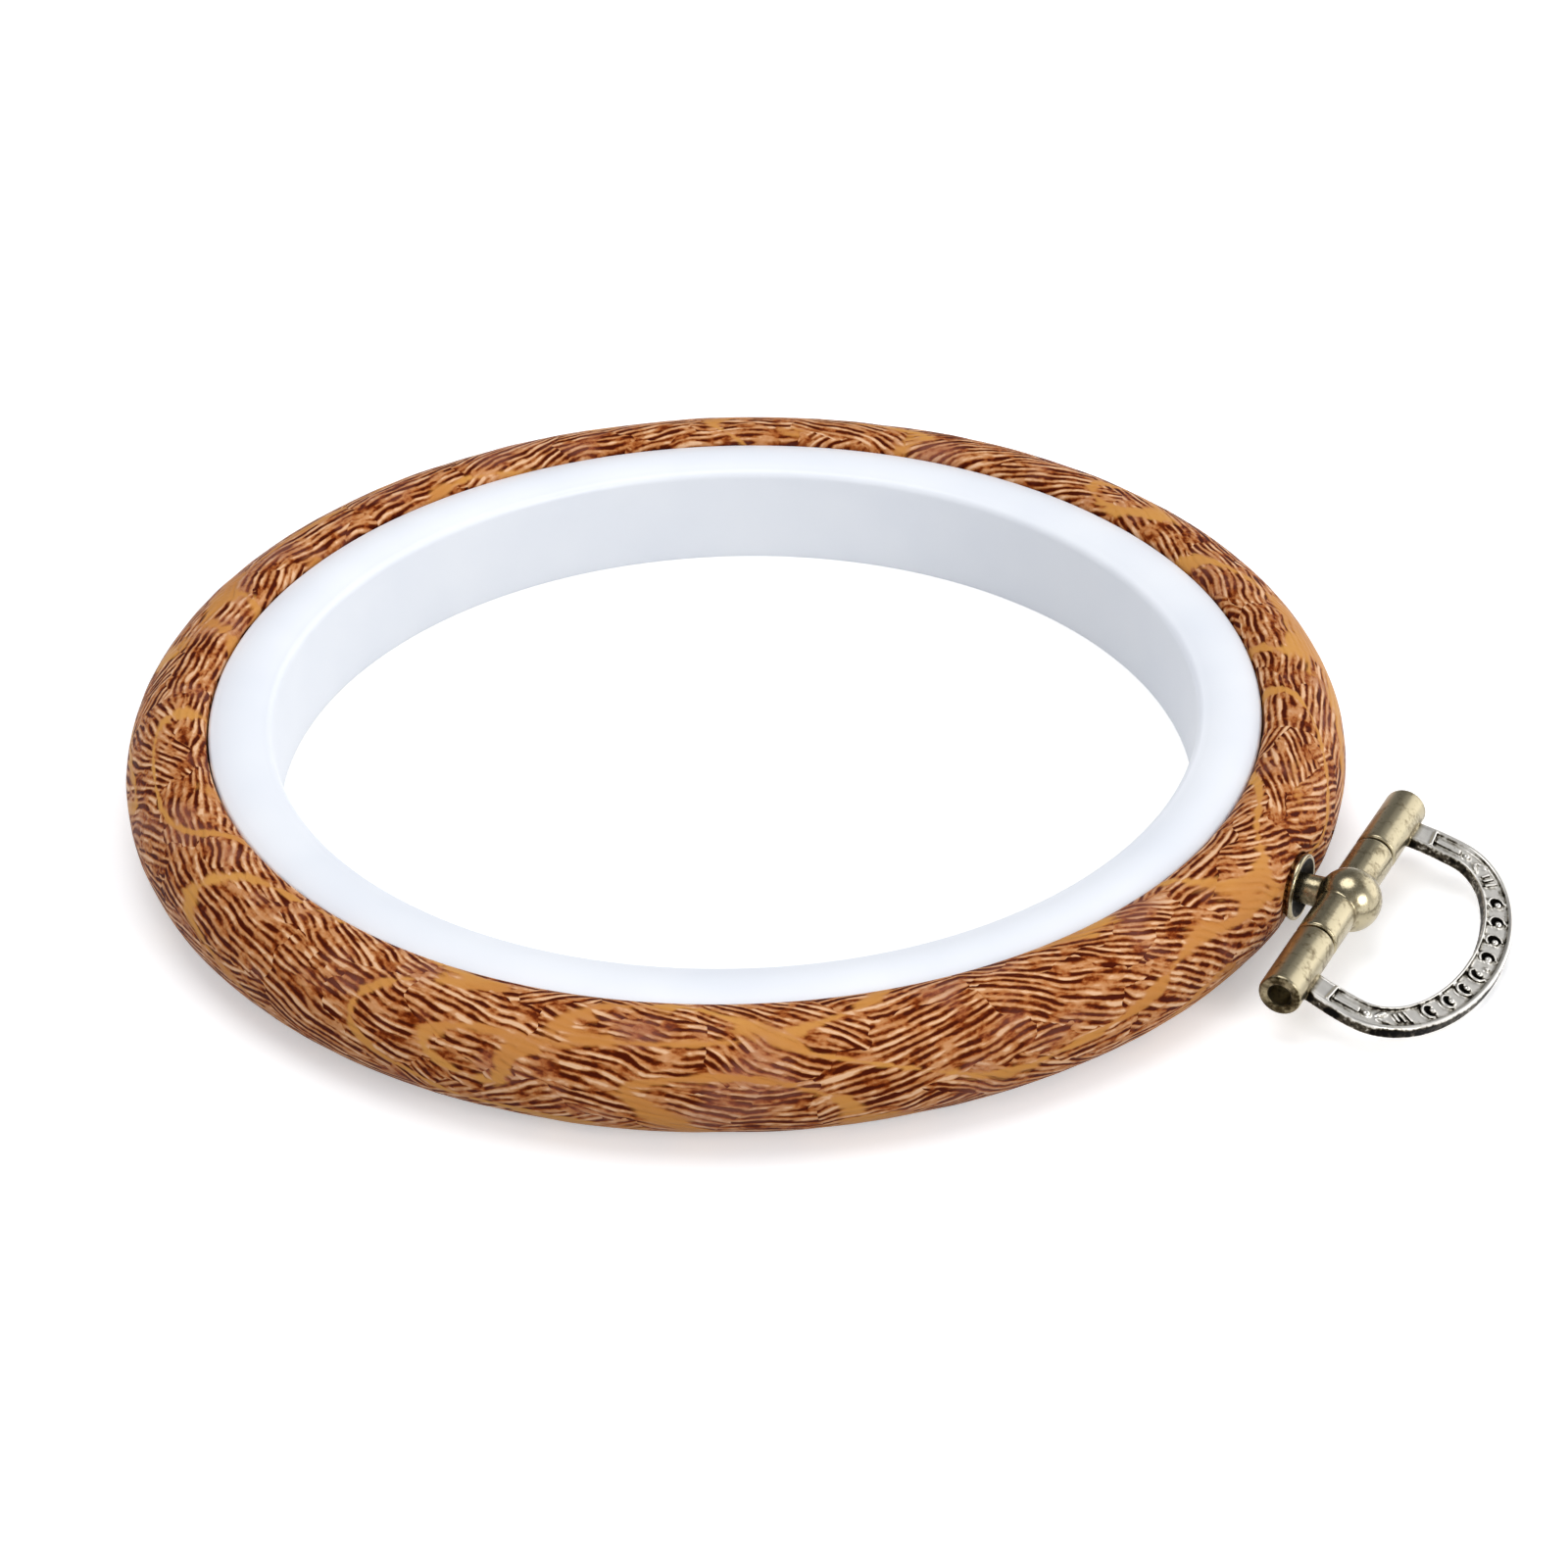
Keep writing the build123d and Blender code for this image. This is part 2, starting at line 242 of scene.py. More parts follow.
    tone = addNode(tree, "TexNoise", {"Vector": rolled(w["toneChange"]), "Scale": 1.0, "Detail": 2.0})
    tone = addNode(tree, "MapRange", {0: tone, 1: 0.38, 2: 0.62, 3: 0.0, 4: 1.0})
    light, deep = map(linear, w["ochre"])
    ochre = addNode(tree, "Mix", {0: tone, 6: light, 7: deep}, data_type="RGBA").outputs[2]
    # Stain in the grooves, with painted highlight on the ridge tops
    colour = addNode(tree, "ValToRGB", {0: height}, stops=w["ridge"])
    rosy = addNode(tree, "TexNoise", {"Vector": rolled(w["rosyPlace"]), "Scale": 1.0, "Detail": 2.0})
    rosy = addNode(tree, "MapRange", {0: rosy, 1: 0.54, 2: 0.68, 3: 0.0, 4: 0.45})
    colour = addNode(tree, "Mix", {0: rosy, 6: colour, 7: linear(w["rosy"])}, data_type="RGBA").outputs[2]
    covered = addNode(tree, "Math", {0: band, 1: 0.7}, operation="MULTIPLY")
    colour = addNode(tree, "Mix", {0: covered, 6: colour, 7: ochre}, data_type="RGBA").outputs[2]

    relief = addNode(tree, "MapRange", {
        0: height, 1: 0.25, 2: 0.75, 3: 0.0, 4: 1.0}, interpolation_type="SMOOTHSTEP")
    relief = addNode(tree, "Math", {0: grit, 1: 0.12, 2: relief}, operation="MULTIPLY_ADD")
    normal = addNode(tree, "Bump", {"Height": relief, "Strength": 0.9, "Distance": w["reliefDepth"] * mm})
    roughness = addNode(tree, "MapRange", {0: relief, 1: 0.0, 2: 1.0, 3: 0.52, 4: 0.40})
    shader = addNode(tree, "BsdfPrincipled", {
        "Base Color": colour, "Roughness": roughness, "Normal": normal, "IOR": 1.5,
        "Specular IOR Level": 0.04})
    addNode(tree, "OutputMaterial", {"Surface": shader})
    return material


# Moulded polystyrene or ABS: cool white, smooth with a slight orange peel, soft gloss
whiteLook = dict(
    cloud=11.1,            # very faint clouds in the white, mm
    peel=1.43,             # orange peel, mm
    peelDepth=0.02,
    tones=[(0.3, "#EEF2F8"), (0.7, "#F5F8FC")],
)


def makeWhitePlastic():
    w = whiteLook
    material, tree = newMaterial("mouldedWhitePlastic")
    place = addNode(tree, "TexCoord").outputs["Object"]
    cloud = addNode(tree, "TexNoise", {"Vector": place, "Scale": 1 / (w["cloud"] * mm), "Detail": 2.0})
    peel = addNode(tree, "TexNoise", {"Vector": place, "Scale": 1 / (w["peel"] * mm), "Detail": 1.0})
    colour = addNode(tree, "ValToRGB", {0: cloud}, stops=w["tones"])
    roughness = addNode(tree, "MapRange", {0: cloud, 3: 0.30, 4: 0.40})
    normal = addNode(tree, "Bump", {"Height": peel, "Strength": 0.15, "Distance": w["peelDepth"] * mm})
    shader = addNode(tree, "BsdfPrincipled", {
        "Base Color": colour, "Roughness": roughness, "Normal": normal, "IOR": 1.5})
    addNode(tree, "OutputMaterial", {"Surface": shader})
    return material


# Cast metals with a dark patina in their recesses, and painted shade on some faces, smooth between fine pits.
# The recess attribute says how far a point sits among its neighbours, with that painted shade added, and the
# brassy attribute is 1 where the yellow metal shows and 0 where its silvery plating is still whole
metalLook = dict(
    blotch=1.54,           # patina blotches, mm
    grit=0.3125,           # pits of the casting, mm, drawn coarser than they are so that they show
    blotchDepth=0.06,
    gritDepth=0.02,
    # Tones from bright metal to the darkest patina, which the painted shade also takes
    brass=[(0.0, "#B8AD90"), (0.16, "#82765C"), (0.34, "#352B18"), (0.52, "#0C0904")],
    silver=[(0.12, "#E6E3DD"), (0.25, "#B4AFA4"), (0.34, "#4A4338"), (0.46, "#0B0907")],
)


def makePatinatedMetal(name, plating, roughness):
    m = metalLook
    material, tree = newMaterial(name)
    place = addNode(tree, "TexCoord").outputs["Object"]
    recess = addNode(tree, "Attribute", attribute_name="recess").outputs["Fac"]
    brassy = addNode(tree, "Attribute", attribute_name="brassy").outputs["Fac"]
    blotch = addNode(tree, "TexNoise", {
        "Vector": place, "Scale": 1 / (m["blotch"] * mm), "Detail": 3.0, "Roughness": 0.6})
    grit = addNode(tree, "TexNoise", {"Vector": place, "Scale": 1 / (m["grit"] * mm), "Detail": 2.0})
    # The recess attribute brings patina and, in places, painted shade
    wearAndShade = recess
    for cloud, share in (blotch, 0.65), (grit, 0.4):
        cloud = addNode(tree, "Math", {0: cloud, 1: 0.5}, operation="SUBTRACT")
        wearAndShade = addNode(tree, "Math", {0: cloud, 1: share, 2: wearAndShade}, operation="MULTIPLY_ADD")
    brassColour = addNode(tree, "ValToRGB", {0: wearAndShade}, stops=m["brass"])
    platingColour = addNode(tree, "ValToRGB", {0: wearAndShade}, stops=plating)
    colour = addNode(tree, "Mix", {0: brassy, 6: platingColour, 7: brassColour}, data_type="RGBA").outputs[2]
    rough = addNode(tree, "MapRange", {0: wearAndShade, 1: 0.0, 2: 0.6, 3: roughness, 4: 0.65})
    pits = addNode(tree, "Bump", {"Height": grit, "Strength": 0.4, "Distance": m["gritDepth"] * mm})
    normal = addNode(tree, "Bump", {
        "Height": blotch, "Strength": 0.4, "Distance": m["blotchDepth"] * mm, "Normal": pits})
    shader = addNode(tree, "BsdfPrincipled", {
        "Base Color": colour, "Metallic": 1.0, "Roughness": rough, "Normal": normal})
    addNode(tree, "OutputMaterial", {"Surface": shader})
    return material


# Turned steel: grey metal with a satin surface, a little duller in small patches
steelLook = dict(
    patch=0.4,             # mm, drawn coarser than tool marks are so that it shows
    tones=[(0.3, "#77736C"), (0.7, "#97938B")],
)


def makeTurnedSteel():
    material, tree = newMaterial("turnedSteel")
    place = addNode(tree, "TexCoord").outputs["Object"]
    patch = addNode(tree, "TexNoise", {
        "Vector": place, "Scale": 1 / (steelLook["patch"] * mm), "Detail": 1.0})
    colour = addNode(tree, "ValToRGB", {0: patch}, stops=steelLook["tones"])
    roughness = addNode(tree, "MapRange", {0: patch, 3: 0.28, 4: 0.45})
    shader = addNode(tree, "BsdfPrincipled", {
        "Base Color": colour, "Metallic": 1.0, "Roughness": roughness})
    addNode(tree, "OutputMaterial", {"Surface": shader})
    return material


woodLookVinyl = makeWoodLook()
whitePlastic = makeWhitePlastic()
antiqueBrass = makePatinatedMetal("castAntiqueBrass", metalLook["brass"], 0.24)
agedSilver = makePatinatedMetal("castBrassWornSilverPlate", metalLook["silver"], 0.30)
turnedSteel = makeTurnedSteel()
print("materials made")


# Modelling helpers
def meshOf(name, bm):
    mesh = bpy.data.meshes.new(name)
    bm.to_mesh(mesh)
    bm.free()
    made = bpy.data.objects.new(name, mesh)
    bpy.context.scene.collection.objects.link(made)
    return made


def bake(piece):
    # Modifiers become the piece's own mesh
    evaluated = piece.evaluated_get(bpy.context.evaluated_depsgraph_get())
    mesh = bpy.data.meshes.new_from_object(evaluated)
    piece.modifiers.clear()
    old = piece.data
    piece.data = mesh
    bpy.data.meshes.remove(old)


def cut(piece, cutters):
    for cutter in cutters:
        modifier = piece.modifiers.new("cut", "BOOLEAN")
        modifier.operation, modifier.solver, modifier.object = "DIFFERENCE", "EXACT", cutter
    bake(piece)
    for cutter in cutters:
        bpy.data.objects.remove(cutter)


def castTogether(piece, voxel, smoothing):
    # One skin over shells that overlap, with its corners softened as in a casting
    remesh = piece.modifiers.new("cast", "REMESH")
    remesh.mode, remesh.voxel_size = "VOXEL", voxel
    soften = piece.modifiers.new("soften", "SMOOTH")
    soften.factor, soften.iterations = 0.5, smoothing
    bake(piece)


def rodAlongX(name, radius, start, end, height, segments=48):
    bm = bmesh.new()
    bmesh.ops.create_cone(
        bm, cap_ends=True, segments=segments, radius1=radius, radius2=radius, depth=end - start,
        matrix=Matrix.Translation(((start + end) / 2, 0, height)) @ Matrix.Rotation(pi / 2, 4, "Y"))
    return meshOf(name, bm)


def addShell(bm, shell, place=Matrix.Identity(4)):
    # A closed shell joins the others that a casting is made from
    mesh = bpy.data.meshes.new("shell")
    shell.to_mesh(mesh)
    shell.free()
    mesh.transform(place)
    bm.from_mesh(mesh)
    bpy.data.meshes.remove(mesh)


def roundedBlock(length, width, height, edgeRound):
    shell = bmesh.new()
    bmesh.ops.create_cube(shell, size=1)
    bmesh.ops.scale(shell, verts=shell.verts, vec=(length, width, height))
    bmesh.ops.bevel(
        shell, geom=shell.edges, offset=edgeRound, offset_type="OFFSET", affect="EDGES", segments=3,
        profile=0.5, material=-1)
    return shell


def turnSection(bm, points, axis, steps):
    # A closed section turned about an axis through the origin
    verts = [bm.verts.new(p) for p in points]
    edges = [bm.edges.new((verts[i - 1], verts[i])) for i in range(len(verts))]
    bmesh.ops.spin(
        bm, geom=verts + edges, cent=(0, 0, 0), axis=axis, dvec=(0, 0, 0), angle=fullTurn, steps=steps,
        use_merge=True, use_duplicate=False)
    bmesh.ops.recalc_face_normals(bm, faces=bm.faces)


def roundedSection(corners):
    # Corner points (x, z, radius, segments) to a section whose corners are rounded
    bm = bmesh.new()
    face = bm.faces.new([bm.verts.new((x, 0, z)) for x, z, _, _ in corners])
    bm.verts.ensure_lookup_table()
    rounds = [(v, c[2], c[3]) for v, c in zip(list(bm.verts), corners) if c[2]]
    for vert, radius, segments in rounds:
        bmesh.ops.bevel(
            bm, geom=[vert], offset=radius, offset_type="OFFSET", affect="VERTICES", segments=segments,
            profile=0.5, material=-1)
    bm.faces.ensure_lookup_table()
    points = [v.co.copy() for v in bm.faces[0].verts]
    bm.free()
    return points


def smoothShading(piece, sharpAngle=35):
    bm = bmesh.new()
    bm.from_mesh(piece.data)
    for face in bm.faces:
        face.smooth = True
    for e in bm.edges:
        e.smooth = not e.is_manifold or e.calc_face_angle(0) < radians(sharpAngle)
    bm.to_mesh(piece.data)
    bm.free()


def markRecesses(piece, reach, rays=20):
    # How much of the space round a point is taken by the piece itself, within the given reach
    bm = bmesh.new()
    bm.from_mesh(piece.data)
    tree = BVHTree.FromBMesh(bm)
    golden = pi * (3 - 5 ** 0.5)
    fan = []
    for i in range(rays):
        z = 0.12 + 0.85 * (i + 0.5) / rays
        fan.append(Vector((cos(golden * i) * (1 - z * z) ** 0.5, sin(golden * i) * (1 - z * z) ** 0.5, z)))
    values = []
    for v in bm.verts:
        turn = zAxis.rotation_difference(v.normal)
        start = v.co + v.normal * 0.02
        hidden = 0.0
        for ray in fan:
            distance = tree.ray_cast(start, turn @ ray, reach)[3]
            if distance is not None:
                hidden += 1 - distance / reach
        values.append(hidden / rays)
    bm.free()
    attribute = piece.data.attributes.new("recess", "FLOAT", "POINT")
    attribute.data.foreach_set("value", values)


def finishPiece(piece, material, body, node):
    piece.data.transform(Matrix.Scale(mm, 4))
    piece.data.materials.clear()
    piece.data.materials.append(material)
    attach(piece, body)
    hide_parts(node)
    print(piece.name, "made,", len(piece.data.polygons), "faces")
    return piece


# Inner ring, white plastic
innerRing = dict(
    outerRadius=44.0,
    width=5.3,
    height=9.3,
    crownRise=0.35,
    lipRound=0.7,          # towards the window
    rimRound=0.35,         # towards the outer ring
    footChamfer=0.45,
    windowFoot=0.05,       # round at the foot of the bore
    crownSteps=12,
    steps=384,
)


def makeInnerRing():
    p = innerRing
    bore = p["outerRadius"] - p["width"]
    crownZ = p["height"] - p["crownRise"]
    points = roundedSection([
        (p["outerRadius"], 0, p["footChamfer"], 1),
        (p["outerRadius"], crownZ, p["rimRound"], 5),
        (bore, crownZ, p["lipRound"], 8),
        (bore, 0, p["windowFoot"], 2)])
    # The top is crowned: it rises between its two rounded edges
    flat = sorted(q.x for q in points if abs(q.z - crownZ) < same)
    crown = []
    for i in range(len(points)):
        crown.append(points[i])
        a, b = points[i], points[(i + 1) % len(points)]
        if min(a.z, b.z) > crownZ - same:
            crown += [a.lerp(b, t / p["crownSteps"]) for t in range(1, p["crownSteps"])]
        elif (a - b).length > 2:
            crown += [a.lerp(b, t) for t in (0.02, 0.1, 0.3, 0.5, 0.7, 0.9, 0.98)]
    for q in crown:
        if abs(q.z - crownZ) < same:
            t = (q.x - flat[0]) / (flat[-1] - flat[0])
            q.z += p["crownRise"] * sin(pi * t) ** 0.8 if 0 < t < 1 else 0
    bm = bmesh.new()
    turnSection(bm, crown, (0, 0, 1), p["steps"])
    ring = meshOf("innerRing", bm)
    smoothShading(ring, 30)
    return finishPiece(ring, whitePlastic, "inner_ring", "inner_ring")


# Outer ring, soft vinyl
outerRing = dict(
    boreRadius=44.15,
    width=7.0,
    height=10.0,
    crownInset=2.1,
    shoulderDrop=1.1,
    sectionSegments=72,
    steps=400,
    unevenness=0.10,       # how far the soft ring dips from a true circle, mm
    dipSizes=(6.0, 2.2),   # long dips and short ones
    dipStart=1.5,          # from the crown outwards, before the dips have their full depth
    collarSeatX=49.9,
    collarSeatRadius=2.85,
    hollowRound=12.0,      # round of the hollow about the collar, mm
    hollowReach=9.0,
    hollowBlend=0.25,      # softness of its edge
    screwHole=0.9,
    washerSeatX=45.95,
    washerSeatRadius=2.2,
    pitDistance=7.8,       # from the collar, along the outside
    pitRadius=0.8,
    pitDepth=1.0,
)


def makeOuterRing():
    p = outerRing
    bm = bmesh.new()
    crownR = p["boreRadius"] + p["crownInset"]
    outside = p["boreRadius"] + p["width"]
    half = p["height"] / 2
    verts = bmesh.ops.create_circle(
        bm, segments=p["sectionSegments"], radius=1,
        matrix=Matrix.Rotation(pi / p["sectionSegments"], 4, "Z"))["verts"]
    for v in verts:
        side, up = v.co.x, v.co.y
        if side > 0:
            v.co = Vector((crownR + (outside - crownR) * side, 0, half + half * up))
        else:
            top = half - p["shoulderDrop"]
            level = half + (top if up > 0 else -top) + p["shoulderDrop"] * up
            v.co = Vector((crownR + p["crownInset"] * side, 0, level))
    bmesh.ops.spin(
        bm, geom=list(bm.verts) + list(bm.edges), cent=(0, 0, 0), axis=(0, 0, 1), dvec=(0, 0, 0),
        angle=fullTurn, steps=p["steps"], use_merge=True, use_duplicate=False)
    bmesh.ops.recalc_face_normals(bm, faces=bm.faces)
    bm.normal_update()
    # The soft moulding isn't quite true: it dips a little here and there, but never near its bore
    long, short = p["dipSizes"]
    for v in bm.verts:
        out = Vector((v.co.x, v.co.y, 0)).length - crownR
        if out > 0:
            dip = 0.5 + noise.noise(v.co / long) * 0.7 + noise.noise(v.co / short) * 0.3
            v.co -= v.normal * p["unevenness"] * max(0, min(1, dip)) * min(1, out / p["dipStart"])
    z = hanger["height"]
    # A soft-edged round hollow where the collar lies
    for v in bm.verts:
        aside = hypot(v.co.y, v.co.z - z)
        if v.co.x > p["boreRadius"] + 1 and aside < p["hollowReach"]:
            hollowX = p["collarSeatX"] + p["hollowRound"] - (p["hollowRound"] ** 2 - aside ** 2) ** 0.5
            over = v.co.x - hollowX
            dent = 0.5 * (over + hypot(over, p["hollowBlend"]))
            v.co.x -= dent * (1 - (aside / p["hollowReach"]) ** 4)
    ring = meshOf("outerRing", bm)
    inside, beyond = p["boreRadius"] - 2, outside + 2
    cutters = [
        rodAlongX("seatCutter", p["collarSeatRadius"], p["collarSeatX"], beyond, z, 64),
        rodAlongX("screwCutter", p["screwHole"], inside, beyond, z, 32),
        rodAlongX("washerCutter", p["washerSeatRadius"], inside, p["washerSeatX"], z, 48)]
    pit = bmesh.new()
    bmesh.ops.create_icosphere(pit, subdivisions=3, radius=1)
    for v in pit.verts:
        v.co *= 1 + 0.25 * noise.noise(v.co * 1.7)    # the pit is ragged
    bmesh.ops.scale(pit, verts=pit.verts, vec=(p["pitDepth"], p["pitRadius"], p["pitRadius"]))
    bmesh.ops.translate(pit, verts=pit.verts, vec=(outside - 0.1, 0, z))
    bmesh.ops.rotate(pit, verts=pit.verts, matrix=Matrix.Rotation(p["pitDistance"] / outside, 3, "Z"))
    cutters.append(meshOf("pitCutter", pit))
    cut(ring, cutters)
    smoothShading(ring, 40)
    return finishPiece(ring, woodLookVinyl, "outer_ring", "outer_ring")


makeInnerRing()
makeOuterRing()


# Collar, a dished washer in the outer ring's hollow
collar = dict(
    seatX=49.9,
    radius=2.75,
    depth=1.0,
    floorThickness=0.4,
    rimWidth=0.4,
    floorRadius=1.45,
    hole=0.9,
)


def makeCollar():
    p = collar
    points = roundedSection([
        (p["hole"], 0, 0, 0),
        (p["radius"] - p["rimWidth"], 0, 0.15, 3),
        (p["radius"], p["depth"] - p["rimWidth"], 0.15, 4),
        (p["radius"], p["depth"], 0.18, 5),
        (p["radius"] - p["rimWidth"], p["depth"], 0.16, 5),
        (p["floorRadius"], p["floorThickness"], 0.2, 3),
        (p["hole"], p["floorThickness"], 0, 0)])
    bm = bmesh.new()
    turnSection(bm, points, (0, 0, 1), 96)
    bmesh.ops.rotate(bm, verts=bm.verts, matrix=Matrix.Rotation(pi / 2, 3, "Y"))
    bmesh.ops.translate(bm, verts=bm.verts, vec=(p["seatX"], 0, hanger["height"]))
    dish = meshOf("collarDish", bm)
    smoothShading(dish, 40)
    markRecesses(dish, 1.2)
    # Its dished floor is drawn nearly black: painted shade and a painted dark reflection inside the dish
    for v, point in zip(dish.data.vertices, dish.data.attributes["recess"].data):
        aside = hypot(v.co.y, v.co.z - hanger["height"])
        if v.co.x > p["seatX"] + 0.2 and aside < p["radius"] - p["rimWidth"] + 0.05:
            point.value += 0.5
    return finishPiece(dish, antiqueBrass, "outer_ring", "collar")


# Hanger body: neck, ball and middle barrel in one casting
hangerBody = dict(
    neckFootX=50.3,
    neckFootRadius=1.2,
    neckTopRadius=1.4,
    ballRadius=2.6,
    ballOffset=0.4,        # ball's centre outside the hinge axis
    threadRadius=0.81,
    threadDepth=2.6,
    edgeRound=0.22,
    voxel=0.075,
)


def makeHangerBody():
    p = hangerBody
    hinge = hanger["hingeX"]
    ballX = hinge + p["ballOffset"]
    neckLength = ballX - p["neckFootX"]
    bm = bmesh.new()
    bmesh.ops.create_cone(
        bm, cap_ends=True, segments=48, radius1=p["neckFootRadius"], radius2=p["neckTopRadius"],
        depth=neckLength,
        matrix=Matrix.Translation((p["neckFootX"] + neckLength / 2, 0, 0)) @ Matrix.Rotation(pi / 2, 4, "Y"))
    bmesh.ops.create_uvsphere(
        bm, u_segments=64, v_segments=32, radius=p["ballRadius"], matrix=Matrix.Translation((ballX, 0, 0)))
    half = hanger["middleBarrel"] / 2
    barrel = bmesh.new()
    turnSection(barrel, roundedSection([
        (0.3, -half, 0, 0), (hanger["barrelRadius"], -half, p["edgeRound"], 4),
        (hanger["barrelRadius"], half, p["edgeRound"], 4), (0.3, half, 0, 0)]), (0, 0, 1), 64)
    addShell(bm, barrel, Matrix.Translation((hinge, 0, 0)) @ Matrix.Rotation(pi / 2, 4, "X"))
    bmesh.ops.translate(bm, verts=bm.verts, vec=(0, 0, hanger["height"]))
    casting = meshOf("hangerCasting", bm)
    castTogether(casting, p["voxel"], 5)
    bore = bmesh.new()
    bmesh.ops.create_cone(
        bore, cap_ends=True, segments=32, radius1=hanger["pinHole"], radius2=hanger["pinHole"],
        depth=half * 3,
        matrix=Matrix.Translation((hinge, 0, hanger["height"])) @ Matrix.Rotation(pi / 2, 4, "X"))
    foot = p["neckFootX"]
    thread = rodAlongX("threadCutter", p["threadRadius"], foot - 1, foot + p["threadDepth"], hanger["height"])
    cut(casting, [meshOf("boreCutter", bore), thread])
    smoothShading(casting, 50)
    markRecesses(casting, 1.6)
    return finishPiece(casting, antiqueBrass, "outer_ring", "hanger_body")


# Bail: flat loop with two end barrels, one casting.
# It is made in its own frame, with the hinge along Y and the loop towards +X
bail = dict(
    reach=13.5,
    halfWidth=13.3,
    shoulder=5.6,          # where the legs pass into the half ellipse
    legHalfWidth=12.4,
    bandWidth=2.6,
    legWidth=2.3,
    thickness=1.1,
    legStart=1.05,         # inside the barrel's wall
    carvingStart=3.3,
    carvingDepth=0.3,
    outerRim=0.5,
    innerRim=0.28,
    restGap=0.05,
    barrelGap=0.3,
    hingeLength=29.0,
    pinLength=23.0,
    pinBore=0.66,
    endBore=0.95,
    voxel=0.085,
)

# Its carving, with places in mm from the tip or, where they say end, from the end of the carved recess
carving = dict(
    pairRadius=0.24,       # two beads side by side at the tip
    pairAside=0.36,
    pairX=0.02,
    sunk=0.04,             # beads' centres above the recess's floor
    scrolls=4,
    scrollStart=1.25,
    scrollPitch=2.33,
    scrollRadius=0.66,
    scrollWire=0.17,
    scrollSweep=230,
    scrollTurn=28,         # the curl's mouth looks outwards by this
    scrollRise=0.12,
    beadRadius=0.33,
    beadOffset=0.20,       # towards the curl's mouth
    dashEnd=6.6,
    dashSteps=(0, 0.55, 1.05),
    dashWidth=0.24,
    dashLength=1.25,
    dashTurn=12,
    leafEnd=4.4,
    leafAside=0.36,
    leafTurn=24,
    leafRadius=0.34,
    leafStretch=(1.75, 0.62, 0.75),
    dotEnd=3.1,
    dotRadius=0.36,
    dotStretch=(1, 0.9, 0.85),
    barEnd=1.45,
    bar=(2.2, 0.62, 0.5),
    stopEnd=0.06,
    stop=(0.24, 1.9, 0.78),
)


def droop():
    drop = hanger["height"] - bail["restGap"]
    half = bail["thickness"] / 2
    return asin(drop / hypot(bail["reach"], half)) - atan2(half, bail["reach"])


def legStations():
    # Two stations close together where the carved recess begins
    recess = bail["carvingStart"]
    return [bail["legStart"], 1.8, 2.5, recess - 0.06, recess, 3.7, 4.2, 4.7, bail["shoulder"]]


def loopOutline(inset, legInset, tipSteps=72):
    # Points from one leg's start round the tip to the other, with the outline moved inwards by the inset
    p = bail
    wide = p["halfWidth"] - inset
    lean = wide - (p["legHalfWidth"] - legInset)
    leg = [Vector((x, wide - lean * ((p["shoulder"] - x) / p["shoulder"]) ** 2, 0)) for x in legStations()]
    turns = [pi / 2 - pi * i / tipSteps for i in range(1, tipSteps)]
    deep = p["reach"] - inset - p["shoulder"]
    tip = [Vector((p["shoulder"] + deep * cos(t), wide * sin(t), 0)) for t in turns]
    return leg + tip + [Vector((q.x, -q.y, 0)) for q in reversed(leg)]


def loopBand(bm):
    # A grid of stations along the loop by corners round its section, bent into place and closed.
    # Each corner has its distance from the loop's outer or inner edge and its height
    p = bail
    top = p["thickness"] / 2
    floor = top - p["carvingDepth"]
    outer, inner, chamfer = p["outerRim"], p["innerRim"], 0.12
    section = [
        ("out", chamfer, -top), ("out", 0, -top + chamfer), ("out", 0, top - 0.2),
        ("out", 0.05, top - 0.07), ("out", 0.14, top), ("out", outer - 0.12, top),
        ("out", outer - 0.03, top - 0.08), ("out", outer + 0.06, floor),
        ("in", inner + 0.04, floor), ("in", inner - 0.03, top - 0.08),
        ("in", inner - 0.08, top), ("in", 0.1, top), ("in", 0.03, top - 0.06),
        ("in", 0, top - 0.2), ("in", 0, -top + chamfer), ("in", chamfer, -top)]
    outside = loopOutline(0, 0)
    inside = loopOutline(p["bandWidth"], p["legWidth"])
    stations, corners = len(outside), len(section)
    grid = bmesh.ops.create_grid(bm, x_segments=stations - 1, y_segments=corners, size=0.5)["verts"]
    for v in grid:
        i = round((v.co.x + 0.5) * (stations - 1))
        side, distance, height = section[round((v.co.y + 0.5) * corners) % corners]
        across = (inside[i] - outside[i]).normalized()
        plain = outside[i].x < p["carvingStart"] - 0.01 and height < top and height > 0
        v.co = (outside[i] + across * distance) if side == "out" else (inside[i] - across * distance)
        v.co.z = max(height, top - 0.07) if plain and distance > 0.2 else height
    bmesh.ops.remove_doubles(bm, verts=bm.verts, dist=1e-5)
    bmesh.ops.holes_fill(bm, edges=[e for e in bm.edges if e.is_boundary], sides=0)
    bmesh.ops.recalc_face_normals(bm, faces=bm.faces)


def ornamentPlaces():
    # A function from a distance along the recess's middle, measured from the tip, to a place on its floor
    p = bail
    inset = (p["bandWidth"] + p["outerRim"] - p["innerRim"]) / 2
    legInset = (p["legWidth"] + p["outerRim"] - p["innerRim"]) / 2
    line = loopOutline(inset, legInset, 144)
    middle = len(line) // 2
    floor = p["thickness"] / 2 - p["carvingDepth"]

    def place(distance):
        step = 1 if distance >= 0 else -1
        left, i = abs(distance), middle
        while left > (line[i + step] - line[i]).length:
            left -= (line[i + step] - line[i]).length
            i += step
        ahead = (line[i + step] - line[i]).normalized()
        spot = line[i] + ahead * left
        return Matrix.Translation((spot.x, spot.y, floor)) @ Matrix.Rotation(atan2(ahead.y, ahead.x), 4, "Z")

    length = sum((b - a).length for a, b in zip(line, line[1:]))
    return place, length / 2 - (p["carvingStart"] - p["legStart"])


